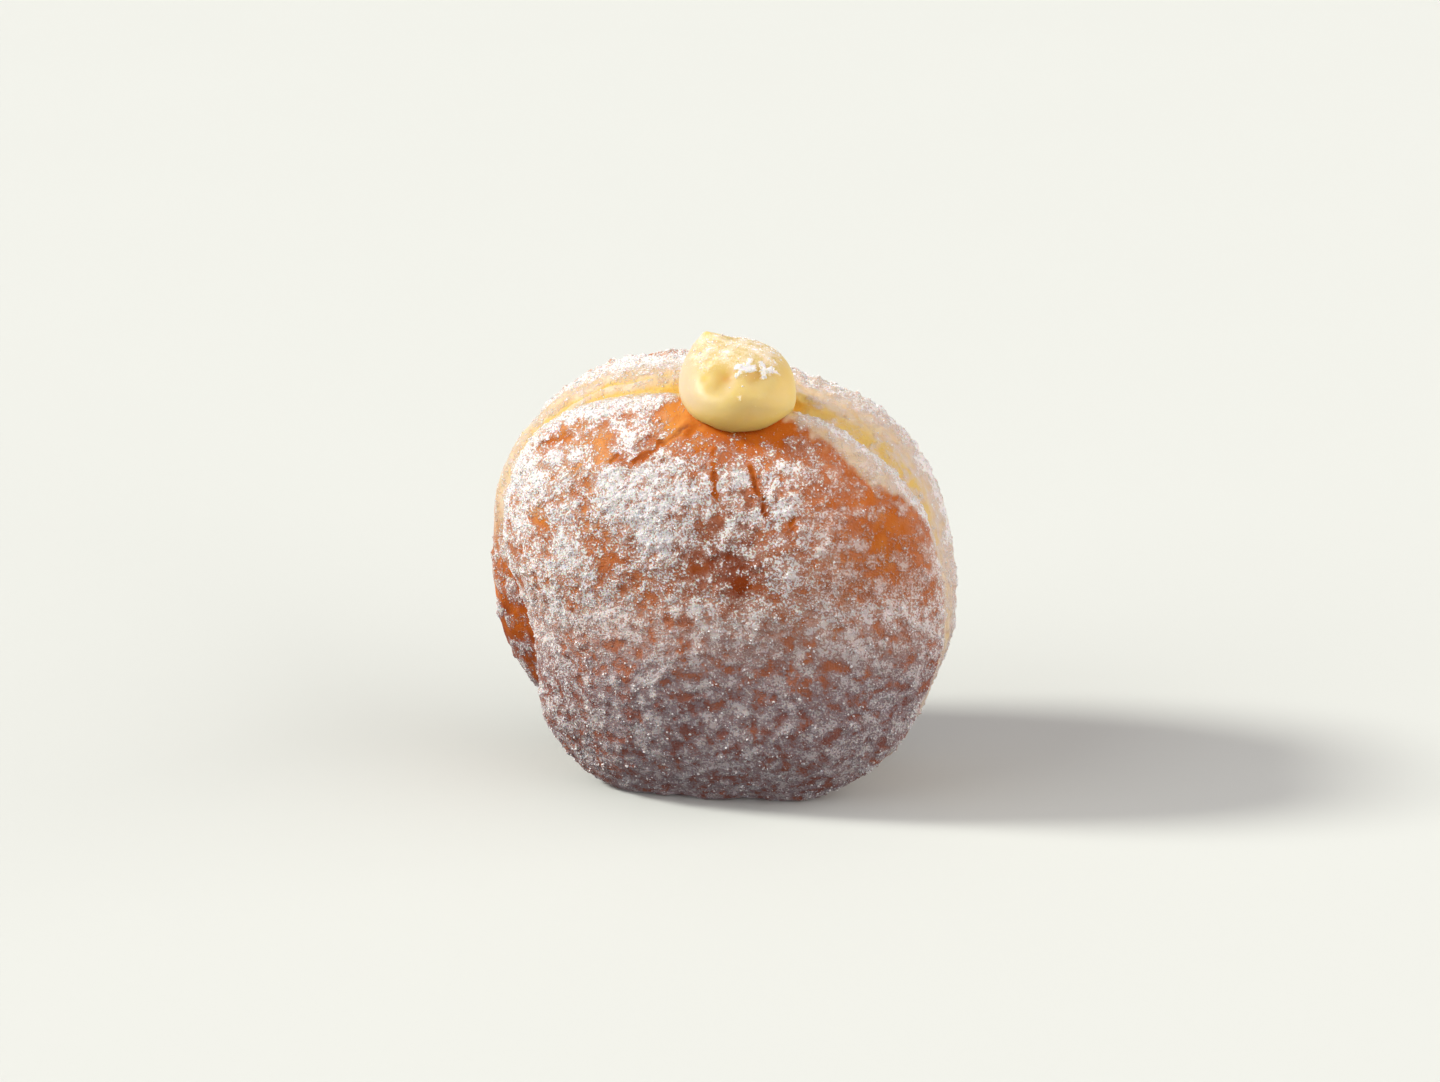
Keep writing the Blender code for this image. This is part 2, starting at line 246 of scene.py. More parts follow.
# Bare places on the front crust, as (x, height, reach, amount)
BARE_PATCHES = (
    # Beside the custard
    (-0.9, 76.4, 3.8, 1.15), (7.9, 75.8, 3.4, 1.20), (-5.5, 77.6, 3.2, 1.10), (13.6, 75.8, 3.4, 1.15),
    # Strip inside the right rim
    (35.7, 60.4, 3.6, 0.40), (33.4, 56.0, 4.0, 0.42), (35.0, 50.6, 4.0, 0.40), (29.6, 62.5, 2.4, 0.50),
    (24.1, 63.1, 1.8, 0.40),
    # Middle of the face
    (5.3, 53.8, 3.4, 0.36), (9.2, 48.8, 3.4, 0.36), (8.4, 48.0, 1.8, 0.50), (1.0, 50.2, 3.6, 0.36),
    (-1.0, 40.6, 2.0, 0.40), (-10.7, 46.3, 3.0, 0.30),
    # Left
    (-28.5, 72.4, 3.0, 0.24), (-24.0, 71.0, 2.6, 0.12), (-20.2, 72.2, 2.2, 0.22), (-18.5, 69.9, 2.4, 0.15),
    (-30.0, 55.6, 2.6, 0.45), (-21.3, 59.2, 2.6, 0.35), (-18.6, 55.7, 2.2, 0.40), (-17.6, 51.8, 3.0, 0.35),
    (-17.5, 51.1, 2.4, 0.40),
    # Bottom
    (-14.8, 31.6, 4.0, 0.25), (19.0, 37.5, 3.0, 0.18), (23.4, 31.0, 4.0, 0.25),
)
PATCH_STRENGTH = 0.85

# Sugar on the plain parts of the faces, and the least and most of it anywhere but on bare places
FRONT_POWDER = 0.37
BACK_POWDER = 0.5
LEAST_POWDER = -0.7
MOST_POWDER = 1.4

# Sugar on the band, as (angle, amount)
BAND_POWDER = (
    (-180, 0.3), (-130, 0.4), (-108, 0.16), (-90, 0.2), (-72, 0.12), (0, 0.1), (60, 0.15), (120, 0.3),
)

# Bare strip on the band, beside the front rim at the lower left
STRIP_ANGLE = -103.0
STRIP_SPAN = 15.0
STRIP_SITE = -5.8
STRIP_WIDTH = 1.6
STRIP_DEPTH = 1.2

# Where fibres of the dough show through the sugar, at the lower left of the band
FIBROUS_ANGLE = -106.0
FIBROUS_SPAN = 24.0

# Sugar on the two rims of the band, as (angle, amount)
FRONT_RIM_POWDER = (
    (-180, 0.4), (-130, 0.3), (-100, 0.25), (-80, 1.3), (-62, 1.4), (-45, 1.0), (-30, 1.3), (-14, 1.1),
    (-6, 0.2), (10, 0.0), (20, 0.4), (30, 0.85), (45, 1.0), (60, 1.05), (76, 0.8), (95, 0.6), (130, 0.5),
)
BACK_RIM_POWDER = (
    (-180, 0.5), (-130, 0.5), (-90, 0.4), (-60, 0.7), (-45, 1.2), (-35, 1.5), (-15, 1.5), (5, 0.8),
    (20, 0.7), (34, 0.9), (50, 1.1), (75, 1.1), (100, 0.8), (130, 0.6),
)
RIM_POWDER_STRENGTH = 0.75

# Sugar along the front rim: how far past the rim line it lies and how wide it is, and how far it moves
# in and widens to a ridge at the right
RIDGE_PAST_RIM = 0.8
RIDGE_SHIFT = 2.4
RIDGE_WIDTH = 1.8
RIDGE_WIDENING = 1.0

# Sugar along the back rim: the same, with a drift at the upper left
BACK_RIDGE_PAST_RIM = -1.5
BACK_RIDGE_WIDTH = 4.5
DRIFT_ANGLE = -22.0
DRIFT_SPAN = 16.0
DRIFT_SHIFT = 4.0
DRIFT_WIDENING = 1.5

# Stretches of the rim, as the angles where something starts, is full, starts to end and has ended
MOIST_STRETCH = (8, 24, 100, 130)
RIDGE_STRETCH = (10, 24, 80, 100)
BROAD_STRETCH = (0, 24, 90, 120)
SHADED_STRETCH = (12, 22, 60, 74)

# Loose crumbs and flakes of sugar on the back rim at the upper right: the angle in their middle, how
# far they reach round the rim, and the width of their strip
CRUMB_ANGLE = 30.0
CRUMB_SPAN = 22.0
CRUMB_WIDTH = 3.0
FLAKE_ANGLE = 26.0
FLAKE_SPAN = 15.0
FLAKE_WIDTH = 2.5

# Heights over which the bottom of the front face ends
LOW_FACE = (38, 48)

# How brown the band is, and how deep its yellow, as (angle, amount)
BAND_BROWN = (
    (-180, 0.75), (-125, 1.0), (-100, 0.95), (-86, 0.55), (-72, 0.12), (-50, 0.05), (60, 0.0), (100, 0.05),
    (128, 0.4), (155, 0.7),
)
BAND_DEPTH = (
    (-180, 0.6), (-100, 0.8), (-60, 0.25), (-30, 0.45), (-16, 1.2), (0, 1.4), (16, 0.95), (30, 0.9),
    (50, 0.95), (75, 0.8), (100, 0.6), (150, 0.6),
)

# Where the band is deepest yellow, as (angle, y)
DEEP_SITE = (
    (-160, -1.0), (-112, -6.5), (-84, -5.0), (-48, -6.0), (-12, -7.0), (14, -3.0), (26, -1.0), (36, -3.0),
    (48, -1.0), (66, 0.0), (90, 0.0), (120, -1.0),
)

# How far past each rim line, away from the band, the brown crust begins, as (angle, distance)
FRONT_CRUST_EDGE = (
    (-180, 0.0), (-75, 0.0), (-58, 2.0), (-40, 1.8), (-24, 0.6), (12, 0.0), (26, 1.5), (36, 2.7),
    (46, 3.7), (53, 3.5), (60, 1.4), (67, -1.0), (85, -0.8), (120, 0.0),
)
BACK_CRUST_EDGE = (
    (-180, 0.0), (-60, 0.0), (-45, -2.5), (-20, -3.5), (-4, -2.0), (10, 1.0), (30, 2.5), (70, 2.0),
    (100, 0.5),
)

# Distances past that edge over which the crust turns from cream to brown
CRUST_EDGE_BLEND = (-1.7, 1.5)

# Yellower dough round the foot of the custard, as (x, y), radius and width, and the heights where it starts
CUSTARD_FOOT = (4, -8)
CUSTARD_FOOT_RADIUS = 9
CUSTARD_FOOT_WIDTH = 5
CUSTARD_FOOT_HEIGHTS = (60, 70)

# Places on the front crust that are fried darker or, where negative, less, as (x, height, reach, amount)
TOAST_PATCHES = ((6, 51, 10, 0.5), (-5, 77, 6, -0.5), (34, 55, 10, -0.2))

# Custard: pits as (middle, depth, reach), flakes of sugar as (start, end, half width), the last a painted
# highlight, and painted shade in the dimples as (middle, reach). A negative depth is a swelling
CUSTARD_SWELL = 0.28
CUSTARD_TIP = (-2.3, -6.8, 88.5)
CUSTARD_TIP_SIZE = 0.9
CUSTARD_PITS = (
    ((1.0, -11.2, 88.1), 0.5, 0.6), ((-0.8, -8.7, 88.8), 0.4, 0.5), ((-0.3, -18.2, 84.6), 0.35, 0.8),
    ((2.8, -6.6, 88.5), 0.3, 0.8), ((8.6, -8.3, 87.7), 0.3, 0.9),
    ((1.2, -18.0, 84.5), -0.75, 1.5), ((4.2, -17.2, 84.6), 0.3, 1.2),
)
CUSTARD_FLAKES = (
    ((5.1, -16.2, 86.3), (8.3, -15.2, 86.3), 0.5), ((6.2, -16.0, 86.1), (7.8, -15.8, 85.7), 0.75),
    ((7.0, -15.2, 86.6), (7.2, -14.0, 87.1), 0.4), ((6.0, -16.5, 86.0), (5.6, -17.3, 85.1), 0.45),
    ((9.9, -14.6, 85.6), (11.2, -14.2, 85.2), 0.75), ((9.9, -14.9, 85.4), (9.9, -15.8, 84.1), 0.45),
    ((11.0, -14.3, 85.2), (12.4, -13.8, 84.9), 0.45), ((9.9, -14.2, 85.9), (9.0, -13.6, 86.5), 0.35),
    # Painted highlight: this last small flake is a white glint on the front of the custard
    ((6.6, -21.3, 82.3), (6.8, -21.5, 81.8), 0.25),
)
CUSTARD_FLAKE_HEIGHT = 0.3
# Painted shade only: these dimples change the colour, not the shape
CUSTARD_DIMPLE_SHADES = (((3.4, -16.9, 84.2), 1.9), ((8.5, -15.9, 84.4), 1.4), ((-0.4, -17.7, 84.3), 0.7))

# Loose sugar, with the smallest and largest grain, how flat it is and how far its corners are crumpled
SUGAR_KINDS = {
    "sugar_specks": {
        "shape": "GeometryNodeMeshCone",
        "shape_values": {"Vertices": 3, "Radius Bottom": 0.6, "Radius Top": 0.0, "Depth": 0.9},
        "mark": "grains", "per_square_metre": 7.0e6, "smallest": 0.12, "largest": 0.32,
        "squash": 1.0, "crumple": 0.0, "seed": 11,
        "colours": (hue(252, 249, 246), hue(248, 242, 238)), "rough": 0.45, "blot": 1.2,
    },
    "sugar_crystals": {
        "shape": "GeometryNodeMeshCube",
        "shape_values": {},
        "mark": "grains", "per_square_metre": 2.6e6, "smallest": 0.16, "largest": 0.38,
        "squash": 0.8, "crumple": 0.05, "seed": 23,
        "colours": (hue(252, 251, 250), hue(245, 241, 238)), "rough": 0.35, "blot": 1.5,
    },
    "sugar_clumps": {
        "shape": "GeometryNodeMeshIcoSphere",
        "shape_values": {"Radius": 0.5, "Subdivisions": 1},
        "mark": "grains", "per_square_metre": 1.2e6, "smallest": 0.26, "largest": 0.75,
        "squash": 0.75, "crumple": 0.18, "seed": 37,
        "colours": (hue(250, 247, 244), hue(244, 237, 233)), "rough": 0.7, "blot": 2.0,
    },
    "sugar_flakes": {
        "shape": "GeometryNodeMeshIcoSphere",
        "shape_values": {"Radius": 0.5, "Subdivisions": 1},
        "mark": "flakes", "per_square_metre": 9.0e6, "smallest": 0.4, "largest": 1.0,
        "squash": 0.35, "crumple": 0.06, "seed": 41,
        "colours": (hue(253, 253, 253), hue(248, 247, 246)), "rough": 0.6, "blot": 1.6,
    },
}
SLIMMEST_GRAIN = 0.65

# Table
TABLE_COLOURS = (hue(212, 217, 213), hue(211, 216, 212))
TABLE_BLOT = 60.0
TABLE_RADIUS_M = 4.0
TABLE_SEGMENTS = 96
TABLE_DROP = 0.05

# Light: where each lamp shines from, its strength, its colour and the width of its disc in degrees
LAMPS = {
    "key": ((-0.80, -0.16, 0.60), 3.12, (0.965, 0.94, 0.87), 12.0),
    "fill": ((0.95, -0.10, 0.22), 2.84, (1.0, 0.95, 0.92), 80.0),
    "front": ((-0.75, -0.50, 0.58), 1.1, (1.0, 0.97, 0.95), 50.0),
}
SKY_COLOUR = (0.36, 0.325, 0.335, 1.0)
GROUND_COLOUR = (0.13, 0.115, 0.125, 1.0)

# Camera, with the picture's size and where the doughnut's resting spot lies in it, in pixels
AZIMUTH = 11.0
ELEVATION = 20.0
DISTANCE_M = 1.15
SENSOR_WIDTH = 36.0
MM_PER_PIXEL = 0.193
IMAGE = (1440, 1082)
GROUND_PIXEL = (726, 765)


class Wire:
    """A value that flows out of a node, so that sums in Python become Math nodes."""

    def __init__(self, board, socket):
        self.board = board
        self.socket = socket

    def __add__(self, other):
        return self.board.maths("ADD", self, other)

    def __sub__(self, other):
        return self.board.maths("SUBTRACT", self, other)

    def __mul__(self, other):
        return self.board.maths("MULTIPLY", self, other)

    def __rsub__(self, other):
        return self.board.maths("SUBTRACT", other, self)

    __radd__ = __add__
    __rmul__ = __mul__

    def swing(self, amount):
        """Noise from 0 to 1 made into one about 0, as strong as the amount."""
        return (self - 0.5) * amount


class Part:
    """A node on a board."""

    def __init__(self, board, node):
        self.board = board
        self.node = node

    def out(self, key=0):
        return Wire(self.board, self.node.outputs[key])


class Board:
    """A node tree, with one way of adding a node to it."""

    def __init__(self, tree):
        self.tree = tree

    def add(self, kind, settings=None, values=None):
        """Adds a node: its settings first, then the values or the links of its sockets."""
        node = self.tree.nodes.new(kind)
        for name, value in (settings or {}).items():
            setattr(node, name, value)
        for key, value in (values or {}).items():
            if isinstance(value, Wire):
                self.tree.links.new(value.socket, node.inputs[key])
            else:
                node.inputs[key].default_value = value
        return Part(self, node)

    def maths(self, operation, *values):
        return self.add("ShaderNodeMath", {"operation": operation}, dict(enumerate(values))).out()

    def vector_maths(self, operation, values):
        return self.add("ShaderNodeVectorMath", {"operation": operation}, values).out()

    def ease(self, value, low, high):
        """Smooth step of a value from 0 at the low end to 1 at the high end."""
        values = {"Value": value, "From Min": low, "From Max": high}
        return self.add("ShaderNodeMapRange", {"interpolation_type": "SMOOTHSTEP"}, values).out()

    def blend(self, share, first, second):
        """Colour between two colours."""
        return self.add("ShaderNodeMix", {"data_type": "RGBA"}, {0: share, 6: first, 7: second}).out(2)

    def speckle(self, place, size, detail=2.0, roughness=0.5):
        """Noise from 0 to 1 with blots of a size in millimetres."""
        values = {"Vector": place, "Scale": 1 / (size * MM), "Detail": detail, "Roughness": roughness}
        return self.add("ShaderNodeTexNoise", {}, values).out()

    def cells(self, place, size):
        """Distance to the nearest of scattered points about a size in millimetres apart."""
        values = {"Vector": place, "Scale": 1 / (size * MM)}
        return self.add("ShaderNodeTexVoronoi", {}, values).out("Distance")

    def rise(self, way):
        """Upward part of a vector."""
        return self.add("ShaderNodeSeparateXYZ", {}, {0: way}).out(2)

    def mark(self, name):
        """Value of one of the mesh's own attributes."""
        return self.add("ShaderNodeAttribute", {"attribute_name": name}).out("Fac")


def new_finish(name):
    """Empty material as a board, with the place on the piece in its own coordinates."""
    finish = bpy.data.materials.new(name)
    finish.use_nodes = True
    finish.node_tree.nodes.clear()
    board = Board(finish.node_tree)
    return finish, board, board.add("ShaderNodeTexCoord").out("Object")


def close_finish(board, values, height=None):
    """Ends a material with its shader, and with its relief in millimetres where it has one."""
    values = dict(values)
    if height is not None:
        relief = board.add("ShaderNodeBump", {}, {"Height": height, "Distance": MM, "Strength": 1.0})
        values["Normal"] = relief.out()
    shader = board.add("ShaderNodeBsdfPrincipled", {"subsurface_method": "RANDOM_WALK"}, values)
    board.add("ShaderNodeOutputMaterial", {}, {"Surface": shader.out()})


def bare_dough(board, place, crust, cloud):
    """Colour of the crust, of the pale band and of the creases under the sugar, with painted shade in the
    creases and folds.
    """
    mottle = board.speckle(place, **MOTTLE)
    grain = board.speckle(place, **GRAIN)
    # This mark holds the crust's frying, with painted shade at the bottom and painted light at the upper
    # left
    brown = board.mark("toast") + mottle.swing(0.7)
    crust_colour = board.blend(board.ease(brown, -0.1, 0.45), GOLDEN_CRUST, BROWN_CRUST)
    crust_colour = board.blend(board.ease(brown, 0.4, 1.05), crust_colour, DARK_CRUST)

    deep = board.mark("deep")
    band_colour = board.blend(board.ease(mottle, 0.3, 0.7), PALE_CREAM, WARM_CREAM)
    band_colour = board.blend(board.ease(deep + cloud.swing(1.1), 0.15, 0.85), band_colour, GROOVE_YELLOW)
    band_colour = board.blend(board.ease(deep + cloud.swing(0.6), 0.9, 1.5), band_colour, FOLD_AMBER)

    browned = board.ease(crust + grain.swing(0.3) + mottle.swing(0.3), 0.2, 0.85)
    colour = board.blend(browned, band_colour, crust_colour)
    # Painted shade darkens the creases
    return board.blend(board.mark("crease") * 0.85, colour, CREASE_SHADE_BROWN)


def dough_finish():
    """Fried crust, pale band and powder of sugar on one skin."""
    finish, board, place = new_finish("dusted_dough")
    crust = board.mark("crust")
    powder = board.mark("powder")
    soft = board.mark("soft")
    cloud = board.speckle(place, **CLOUD)
    frosting = board.speckle(place, **FROSTING)
    fine = board.speckle(place, **FINE)
    # Painted shade low on the doughnut: there the sugar is greyer, more veiled and less white
    low = 1 - board.ease(board.rise(place), *(height * MM for height in PAINTED_SHADE_HEIGHTS))
    sharp = 1 - soft * 0.75

    # The veil is thin sugar that lets the dough through, and the cover is white sugar that doesn't
    clouded = powder + cloud.swing(crust * CRUST_CLOUDS + soft * SOFT_CLOUDS)
    thin = clouded + (frosting.swing(VEIL_FROSTING) + fine.swing(VEIL_FINE)) * sharp
    veil = board.ease(thin, *VEIL_EDGE)
    veil = board.maths("MAXIMUM", veil, board.ease(fine, *SPECK_EDGE) * sharp * 0.38)
    crust_veil = board.ease(powder, *CRUST_VEIL_EDGE) * crust * (fine * 0.7 - 0.02)
    veil = board.maths("MAXIMUM", veil, crust_veil)
    thick = clouded + (frosting.swing(COVER_FROSTING) + fine.swing(COVER_FINE)) * sharp
    # The white cover thins low down as painted shade
    cover = board.ease(thick, *COVER_EDGE) * (1 - soft * 0.32) * board.mark("thick") * (1 - low * 0.2)

    damp = board.blend(board.ease(powder, *DRY_EDGE), DAMP_SUGAR, DRIER_SUGAR)
    damp = board.blend(soft * 0.6, damp, SUNK_SUGAR)
    # Painted shade: the sugar's veil turns grey low down
    damp = board.blend(low * 0.95, damp, PAINTED_SHADE_SUGAR)
    haze = board.blend(crust, board.blend(soft, BAND_SUGAR, RIDGE_SUGAR), damp)
    dough_colour = bare_dough(board, place, crust, cloud)
    veiled = board.blend(veil * (soft * 0.2 + low * 0.08 + 0.66), dough_colour, haze)

    height = veil * VEIL_RELIEF + cover * COVER_RELIEF + fine * veil * GRIT_RELIEF + fine * SKIN_RELIEF
    height += board.cells(place, **PORES) * (1 - crust) * PORE_RELIEF
    values = {
        "Base Color": board.blend(cover, veiled, DRY_SUGAR),
        "Roughness": cover * 0.2 + 0.6,
        "Specular IOR Level": 0.16,
        "Subsurface Weight": 0.45,
        "Subsurface Radius": (1.0, 0.55, 0.35),
        "Subsurface Scale": 0.002,
    }
    close_finish(board, values, height)
    return finish


def custard_finish():
    """Smooth custard with a soft gloss, dusted on top, with painted sheen, painted light and painted shade
    in its colour.
    """
    finish, board, place = new_finish("custard_cream")
    dust = board.mark("dust")
    cloud = board.speckle(place, **CREAM_CLOUD)
    grain = board.speckle(place, **CREAM_GRAIN)
    fine = board.speckle(place, **CREAM_FINE)
    cream = board.blend(board.ease(cloud, 0.3, 0.7), CUSTARD_LIGHT, CUSTARD_CREAM)
    # Painted sheen on the custard's left side
    cream = board.blend(board.mark("pale") * 0.95, cream, CUSTARD_PAINTED_SHEEN)
    # Painted light under the custard and on its right
    cream = board.blend(board.mark("under"), cream, CUSTARD_PAINTED_GLOW)
    # Painted shade in the dimples and low on the custard
    cream = board.blend(board.mark("deep"), cream, CUSTARD_PAINTED_SHADE)
    frost = board.ease(dust + grain.swing(0.9) + fine.swing(0.9), 0.15, 1.0)
    cover = board.ease(dust + fine.swing(0.4), 1.0, 1.25)
    colour = board.blend(frost * 0.55, cream, CUSTARD_VEIL)
    values = {
        "Base Color": board.blend(cover, colour, CUSTARD_WHITE),
        "Roughness": frost * 0.25 + cloud.swing(0.1) + 0.44,
        "Specular IOR Level": 0.4,
        "Subsurface Weight": 0.95,
        "Subsurface Radius": (1.0, 0.85, 0.35),
        "Subsurface Scale": 0.009,
    }
    close_finish(board, values, cover * 0.1 + frost * 0.15 + grain * 0.03)
    return finish


def sugar_finish(name, colours, rough, blot):
    """White sugar whose grains differ a little in whiteness and gloss."""
    finish, board, place = new_finish(name)
    tone = board.speckle(place, blot, 1.0)
    sparkle = board.speckle(place, blot * 0.3, 0.0)
    values = {
        "Base Color": board.blend(board.ease(tone, 0.3, 0.7), *colours),
        "Roughness": sparkle.swing(0.3) + rough,
        "Specular IOR Level": 0.5,
        "Subsurface Weight": 0.5,
        "Subsurface Radius": (1.0, 0.8, 0.7),
        "Subsurface Scale": 0.0006,
    }
    close_finish(board, values)
    return finish


def table_finish():
    """Pale matt table."""
    finish, board, place = new_finish("pale_table")
    colour = board.blend(board.speckle(place, TABLE_BLOT), *TABLE_COLOURS)
    close_finish(board, {"Base Color": colour, "Roughness": 0.9, "Specular IOR Level": 0.1})
    return finish


def bell(distance, width):
    """Smooth hump of height 1 at no distance, nearly gone at twice the width."""
    return np.exp(-(distance / width) ** 2)


def ease(value, low, high):
    """Smooth step from 0 at the low end to 1 at the high end."""
    t = np.clip((value - low) / (high - low), 0, 1)
    return t * t * (3 - 2 * t)


def fall(value, low, high):
    """Smooth step from 1 at the low end to 0 at the high end."""
    return ease(-value, -high, -low)


def plateau(value, low_foot, low_top, high_top, high_foot):
    """Smooth rise from 0 to 1 between two values, and back to 0 between two higher ones."""
    return ease(value, low_foot, low_top) * fall(value, high_top, high_foot)


def held(value, low, high):
    """Value that nears a low and a high end without passing them."""
    middle = (low + high) / 2
    half = (high - low) / 2
    return middle + half * np.tanh((value - middle) / half)


def around(stations, angles):
    """Values at angles on a closed line through the stations."""
    at, value = zip(*stations)
    return np.interp(angles, at, value, period=360)


def rough_noise(points, size, octaves, shift, strength=1.0):
    """Noise about 0 at points, with blots of a size in millimetres."""
    scaled = points / size + shift
    if octaves == 1:
        return strength * np.array([noise.noise(Vector(p)) for p in scaled])
    layers = [noise.fractal(Vector(p), LAYER_FADING, LAYER_FINENESS, octaves) for p in scaled]
    return strength * np.array(layers)


def distance_to_line(x, height, start, end):
    """Distances from places on the front face to a straight line between two places."""
    along = np.array(end) - np.array(start)
    t = ((x - start[0]) * along[0] + (height - start[1]) * along[1]) / (along @ along)
    t = np.clip(t, 0, 1)
    return np.hypot(x - start[0] - t * along[0], height - start[1] - t * along[1])


def distance_to_rod(points, start, end):
    """Distances from points to a straight line between two points."""
    start = np.array(start)
    along = np.array(end) - start
    t = np.clip((points - start) @ along / (along @ along), 0, 1)
    return np.linalg.norm(points - start - t[:, None] * along, axis=1)


def distance_to_point(points, middle):
    """Distances from points to one point."""
    return np.linalg.norm(points - np.array(middle), axis=1)


def link(name, mesh):
    """Object of a mesh, put in the scene."""
    piece = bpy.data.objects.new(name, mesh)
    scene.collection.objects.link(piece)
    return piece


def plain_copy(piece, name):
    """Plain mesh object of a piece with its modifiers worked out. The piece itself is removed."""
    shape = piece.evaluated_get(bpy.context.evaluated_depsgraph_get())
    mesh = bpy.data.meshes.new_from_object(shape)
    mesh.name = name
    bpy.data.objects.remove(piece)
    return link(name, mesh)


def fine_skin(node, name, cell, smoothing):
    """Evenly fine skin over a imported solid, with its flat facets rounded off."""
    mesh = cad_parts[node].data.copy()
    made = bmesh.new()
    made.from_mesh(mesh)
    bmesh.ops.remove_doubles(made, verts=made.verts, dist=1e-6)
    made.to_mesh(mesh)
    made.free()
    mesh.materials.clear()
    draft = link(name + "_draft", mesh)
    rounding = draft.modifiers.new("rounding", "SUBSURF")
    rounding.levels = FACET_ROUNDING
    rounding.render_levels = FACET_ROUNDING
    remesh = draft.modifiers.new("cells", "REMESH")
    remesh.mode = "VOXEL"
    remesh.voxel_size = cell * MM
    smooth = draft.modifiers.new("smoothing", "SMOOTH")
    smooth.factor = 0.5
    smooth.iterations = smoothing
    return plain_copy(draft, name)


def own_points(piece):
    """The piece's points in the doughnut's own millimetres, and the directions out of its skin."""
    mesh = piece.data
    count = len(mesh.vertices)
    points = np.empty(count * 3)
    mesh.vertices.foreach_get("co", points)
    outward = np.empty(count * 3, np.float32)
    mesh.vertex_normals.foreach_get("vector", outward)
    points = points.reshape(-1, 3) / MM - np.array((*OWN_MIDDLE, 0))
    return points, outward.reshape(-1, 3).astype(float)


def set_points(piece, points):
    """Moves the piece's points to places in the doughnut's own millimetres, none below the table."""
    moved = (points + np.array((*OWN_MIDDLE, 0))) * MM
    moved[:, 2] = np.maximum(moved[:, 2], 0)
    piece.data.vertices.foreach_set("co", moved.astype(np.float32).ravel())
    piece.data.update()


def set_marks(piece, marks):
    """Keeps values at the piece's points as attributes of its mesh, by name."""
    for name, values in marks.items():
        attribute = piece.data.attributes.new(name, "FLOAT", "POINT")
        attribute.data.foreach_set("value", np.clip(values, -1, 2).astype(np.float32))


class DoughSkin:
    """Places on the dough, with what several of its forms and its sugar are worked out from."""

    def __init__(self, points):
        self.points = points
        self.x, self.y, self.height = points.T
        self.angle = np.degrees(np.arctan2(self.x, self.height - CENTRE_HEIGHT))
        self.bearing = np.arctan2(self.x - PIPING_HOLE[0], PIPING_HOLE[1] - self.height)
        self.from_hole = np.hypot(self.x - PIPING_HOLE[0], self.height - PIPING_HOLE[1])
        self.wander = rough_noise(points, **WANDER)
        self.kinks = rough_noise(points, **KINKS)
        self.lumps = rough_noise(points, **LUMPS)
        self.front = ease(-self.y, *FRONT_BLEND)

        # The brown crust starts past each rim line, and covers the band too where the band is brown
        front_edge = around(FRONT_CRUST_EDGE, self.angle)
        edge = np.where(self.y < 0, front_edge, around(BACK_CRUST_EDGE, self.angle))
        self.past_edge = np.abs(self.y) - RIM_SITE - edge + 1.1 * self.wander + 0.9 * self.kinks
        faces = ease(self.past_edge, *CRUST_EDGE_BLEND)
        self.in_band = 1 - faces
        self.crust = np.maximum(faces, around(BAND_BROWN, self.angle) * (1 + 0.25 * self.wander))

        from_custard = np.hypot(self.x - CUSTARD_FOOT[0], self.y - CUSTARD_FOOT[1]) - CUSTARD_FOOT_RADIUS
        self.beside_custard = bell(from_custard, CUSTARD_FOOT_WIDTH) * self.in_band
        self.beside_custard *= ease(self.height, *CUSTARD_FOOT_HEIGHTS)
        radius = np.hypot(self.x, self.height - CENTRE_HEIGHT)
        along_band = (np.radians(self.angle) * FIBRES_PER_RADIAN, self.y / FIBRE_WIDTH, radius / FIBRE_REACH)
        self.fibres = rough_noise(np.column_stack(along_band), **FIBRES)

    def patches(self, patches):
        """Sum of round patches, as (x, height, reach, amount), on either face."""
        total = np.zeros(len(self.points))
        for x, height, reach, amount in patches:
            total += amount * bell(np.hypot(self.x - x, self.height - height), reach)
        return total


def streaks_on(skin):
    """Noise in streaks that run away from the piping hole."""
    rays = (skin.bearing * STREAKS_PER_RADIAN, skin.from_hole / RAY_LENGTH, np.sign(skin.y) * 3.0)
    return rough_noise(np.column_stack(rays), **STREAKS)


def wrinkles_on(skin):
    """Fine wrinkles of the crust that run towards the piping hole."""
    side = np.sign(skin.y) * 4.0 + skin.wander * 0.15
    rays = (skin.bearing * WRINKLES_PER_RADIAN, skin.from_hole / RAY_LENGTH, side)
    lines = np.clip(1 - np.abs(rough_noise(np.column_stack(rays), **WRINKLES)) * 3, 0, 1) ** 2
    return lines * bell(skin.from_hole - WRINKLE_REACH, WRINKLE_SPREAD) * ease(np.abs(skin.y), 14, 18)


def creases_on(skin):
    """How dark the painted shade in the creases of the front crust is, and how deep the creases are."""
    dark = np.zeros(len(skin.points))
    depths = np.zeros(len(skin.points))
    x = skin.x + 0.9 * skin.kinks
    height = skin.height - 0.5 * skin.kinks
    for start, end, depth, width in CREASES:
        line = bell(distance_to_line(x, height, start, end), width) * skin.front
        depths += depth * line
        if depth > 0:
            # Painted shade along each crease of positive depth
            dark = np.maximum(dark, line * min(1, 4 * depth) * (0.8 + 0.5 * skin.kinks))
    return dark, depths


def folds_on(skin):
    """Lines of the folds along the pale band."""
    along = skin.angle - FOLD_ANGLE
    folds = np.zeros(len(skin.points))
    for site in FOLD_SITES:
        line = bell(skin.y - site - FOLD_SLANT * along - 0.7 * skin.wander, FOLD_WIDTH)
        folds = np.maximum(folds, line * bell(along, FOLD_SPAN))
    return folds


